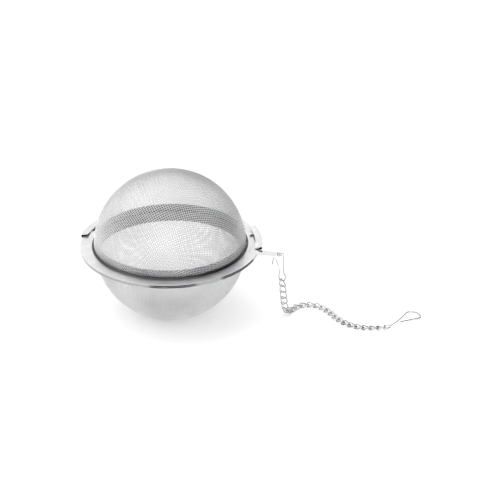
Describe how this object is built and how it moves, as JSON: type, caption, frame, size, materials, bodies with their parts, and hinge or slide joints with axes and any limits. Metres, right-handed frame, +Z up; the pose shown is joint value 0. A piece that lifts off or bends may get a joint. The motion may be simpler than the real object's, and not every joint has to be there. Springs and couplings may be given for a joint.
{
  "type": "tea infuser",
  "caption": "Round wire-mesh tea infuser on its flat foot, with a twist-lock collar, a side tab, a wire clip, a curb chain and a bent wire end hook.",
  "frame": {"origin": "centre of the small flat foot under the lower bowl", "axes": "+Z up along the ball's axis, +X towards the side with the chain, +Y away from a viewer who has the chain on the right"},
  "size_m": [0.1582, 0.0824, 0.0691],
  "materials": {
    "woven_mesh": "fine woven stainless wire",
    "pressed_sheet": "polished stainless sheet",
    "bent_wire": "bright drawn stainless wire"
  },
  "bodies": {
    "base": {"lower_mesh": "woven_mesh", "lower_band": "pressed_sheet", "lower_collar": "pressed_sheet"},
    "lid": {"upper_mesh": "woven_mesh", "upper_band": "pressed_sheet", "upper_collar": "pressed_sheet"},
    "wire_clip": {"wire_clip": "bent_wire"},
    "chain_link_01": {"chain_link_01": "bent_wire"},
    "chain_link_02": {"chain_link_02": "bent_wire"},
    "chain_link_03": {"chain_link_03": "bent_wire"},
    "chain_link_04": {"chain_link_04": "bent_wire"},
    "chain_link_05": {"chain_link_05": "bent_wire"},
    "chain_link_06": {"chain_link_06": "bent_wire"},
    "chain_link_07": {"chain_link_07": "bent_wire"},
    "chain_link_08": {"chain_link_08": "bent_wire"},
    "chain_link_09": {"chain_link_09": "bent_wire"},
    "chain_link_10": {"chain_link_10": "bent_wire"},
    "chain_link_11": {"chain_link_11": "bent_wire"},
    "chain_link_12": {"chain_link_12": "bent_wire"},
    "chain_link_13": {"chain_link_13": "bent_wire"},
    "chain_link_14": {"chain_link_14": "bent_wire"},
    "chain_link_15": {"chain_link_15": "bent_wire"},
    "chain_link_16": {"chain_link_16": "bent_wire"},
    "chain_link_17": {"chain_link_17": "bent_wire"},
    "chain_link_18": {"chain_link_18": "bent_wire"},
    "chain_link_19": {"chain_link_19": "bent_wire"},
    "chain_link_20": {"chain_link_20": "bent_wire"},
    "chain_link_21": {"chain_link_21": "bent_wire"},
    "chain_link_22": {"chain_link_22": "bent_wire"},
    "chain_link_23": {"chain_link_23": "bent_wire"},
    "end_hook": {"end_hook": "bent_wire"}
  },
  "joints": [
    {"name": "lid_twist", "type": "hinge", "parent": "base", "child": "lid", "pos_m": [0, 0, 0.03407], "axis": [0, 0, 1], "range_deg": [-12, 9]},
    {"name": "clip_swing", "type": "hinge", "parent": "base", "child": "wire_clip", "pos_m": [0.04917, -0.01009, 0.0337], "axis": [-0.2011, -0.9796, 0], "range_deg": [-6, 40]},
    {"name": "chain_link_01_swing", "type": "hinge", "parent": "wire_clip", "child": "chain_link_01", "pos_m": [0.05122, -0.01057, 0.02097], "axis": [-0.2011, -0.9796, 0], "range_deg": [-15, 15]},
    {"name": "chain_link_02_swing", "type": "hinge", "parent": "chain_link_01", "child": "chain_link_02", "pos_m": [0.05154, -0.0101, 0.01762], "axis": [-0.9382, 0.3448, -0.0294], "range_deg": [-12, 12]},
    {"name": "chain_link_03_bend", "type": "hinge", "parent": "chain_link_02", "child": "chain_link_03", "pos_m": [0.05183, -0.00961, 0.01427], "axis": [-0.143, -0.9728, -0.182], "range_deg": [-12, 12]},
    {"name": "chain_link_04_swing", "type": "hinge", "parent": "chain_link_03", "child": "chain_link_04", "pos_m": [0.05213, -0.00903, 0.01093], "axis": [-0.9931, 0.0666, -0.0965], "range_deg": [-12, 12]},
    {"name": "chain_link_05_bend", "type": "hinge", "parent": "chain_link_04", "child": "chain_link_05", "pos_m": [0.0525, -0.00831, 0.00763], "axis": [-0.185, -0.9382, -0.2924], "range_deg": [-12, 12]},
    {"name": "chain_link_06_swing", "type": "hinge", "parent": "chain_link_05", "child": "chain_link_06", "pos_m": [0.05299, -0.00739, 0.00439], "axis": [-0.8754, 0.4835, 0], "range_deg": [-10, 10]},
    {"name": "chain_link_07_swing", "type": "hinge", "parent": "chain_link_06", "child": "chain_link_07", "pos_m": [0.05395, -0.00566, 0.00162], "axis": [0.8663, -0.4996, 0], "range_deg": [-10, 10]},
    {"name": "chain_link_08_swing", "type": "hinge", "parent": "chain_link_07", "child": "chain_link_08", "pos_m": [0.05559, -0.0028, 0.00079], "axis": [-0.7723, 0.6353, 0], "range_deg": [-10, 10]},
    {"name": "chain_link_09_bend", "type": "hinge", "parent": "chain_link_08", "child": "chain_link_09", "pos_m": [0.05775, -0.00018, 0.00083], "axis": [0, 0, -1], "range_deg": [-49.9, 18.1]},
    {"name": "chain_link_10_bend", "type": "hinge", "parent": "chain_link_09", "child": "chain_link_10", "pos_m": [0.06055, 0.00176, 0.00081], "axis": [0, 0, 1], "range_deg": [-14.6, 53.4]},
    {"name": "chain_link_11_bend", "type": "hinge", "parent": "chain_link_10", "child": "chain_link_11", "pos_m": [0.06383, 0.00265, 0.00081], "axis": [0, 0, -1], "range_deg": [-59.4, 8.6]},
    {"name": "chain_link_12_bend", "type": "hinge", "parent": "chain_link_11", "child": "chain_link_12", "pos_m": [0.06717, 0.00205, 0.00081], "axis": [0, 0, 1], "range_deg": [-9.8, 58.2]},
    {"name": "chain_link_13_bend", "type": "hinge", "parent": "chain_link_12", "child": "chain_link_13", "pos_m": [0.06998, 0.00013, 0.00081], "axis": [0, 0, -1], "range_deg": [-49.9, 18.1]},
    {"name": "chain_link_14_bend", "type": "hinge", "parent": "chain_link_13", "child": "chain_link_14", "pos_m": [0.07215, -0.00248, 0.00081], "axis": [0, 0, 1], "range_deg": [-26.9, 41.1]},
    {"name": "chain_link_15_bend", "type": "hinge", "parent": "chain_link_14", "child": "chain_link_15", "pos_m": [0.07399, -0.00535, 0.00081], "axis": [0, 0, -1], "range_deg": [-36.9, 31.1]},
    {"name": "chain_link_16_bend", "type": "hinge", "parent": "chain_link_15", "child": "chain_link_16", "pos_m": [0.07567, -0.0083, 0.00081], "axis": [0, 0, 1], "range_deg": [-35.2, 32.8]},
    {"name": "chain_link_17_bend", "type": "hinge", "parent": "chain_link_16", "child": "chain_link_17", "pos_m": [0.07741, -0.01122, 0.00081], "axis": [0, 0, -1], "range_deg": [-27.2, 40.8]},
    {"name": "chain_link_18_bend", "type": "hinge", "parent": "chain_link_17", "child": "chain_link_18", "pos_m": [0.07949, -0.01392, 0.00081], "axis": [0, 0, 1], "range_deg": [-45.6, 22.4]},
    {"name": "chain_link_19_bend", "type": "hinge", "parent": "chain_link_18", "child": "chain_link_19", "pos_m": [0.08206, -0.01614, 0.00081], "axis": [0, 0, -1], "range_deg": [-22.8, 45.2]},
    {"name": "chain_link_20_bend", "type": "hinge", "parent": "chain_link_19", "child": "chain_link_20", "pos_m": [0.08502, -0.01782, 0.00082], "axis": [0, 0, 1], "range_deg": [-44.7, 23.3]},
    {"name": "chain_link_21_bend", "type": "hinge", "parent": "chain_link_20", "child": "chain_link_21", "pos_m": [0.08823, -0.01892, 0.00087], "axis": [0, 0, -1], "range_deg": [-14, 34]},
    {"name": "chain_link_22_bend", "type": "hinge", "parent": "chain_link_21", "child": "chain_link_22", "pos_m": [0.09159, -0.01945, 0.00098], "axis": [0, 0, 1], "range_deg": [-32.7, 15.3]},
    {"name": "chain_link_23_bend", "type": "hinge", "parent": "chain_link_22", "child": "chain_link_23", "pos_m": [0.09499, -0.01946, 0.00111], "axis": [0, 0, -1], "range_deg": [-17.4, 30.6]},
    {"name": "end_hook_bend", "type": "hinge", "parent": "chain_link_23", "child": "end_hook", "pos_m": [0.09812, -0.01911, 0.0012], "axis": [0, 0, 1], "range_deg": [-15, 15]}
  ]
}
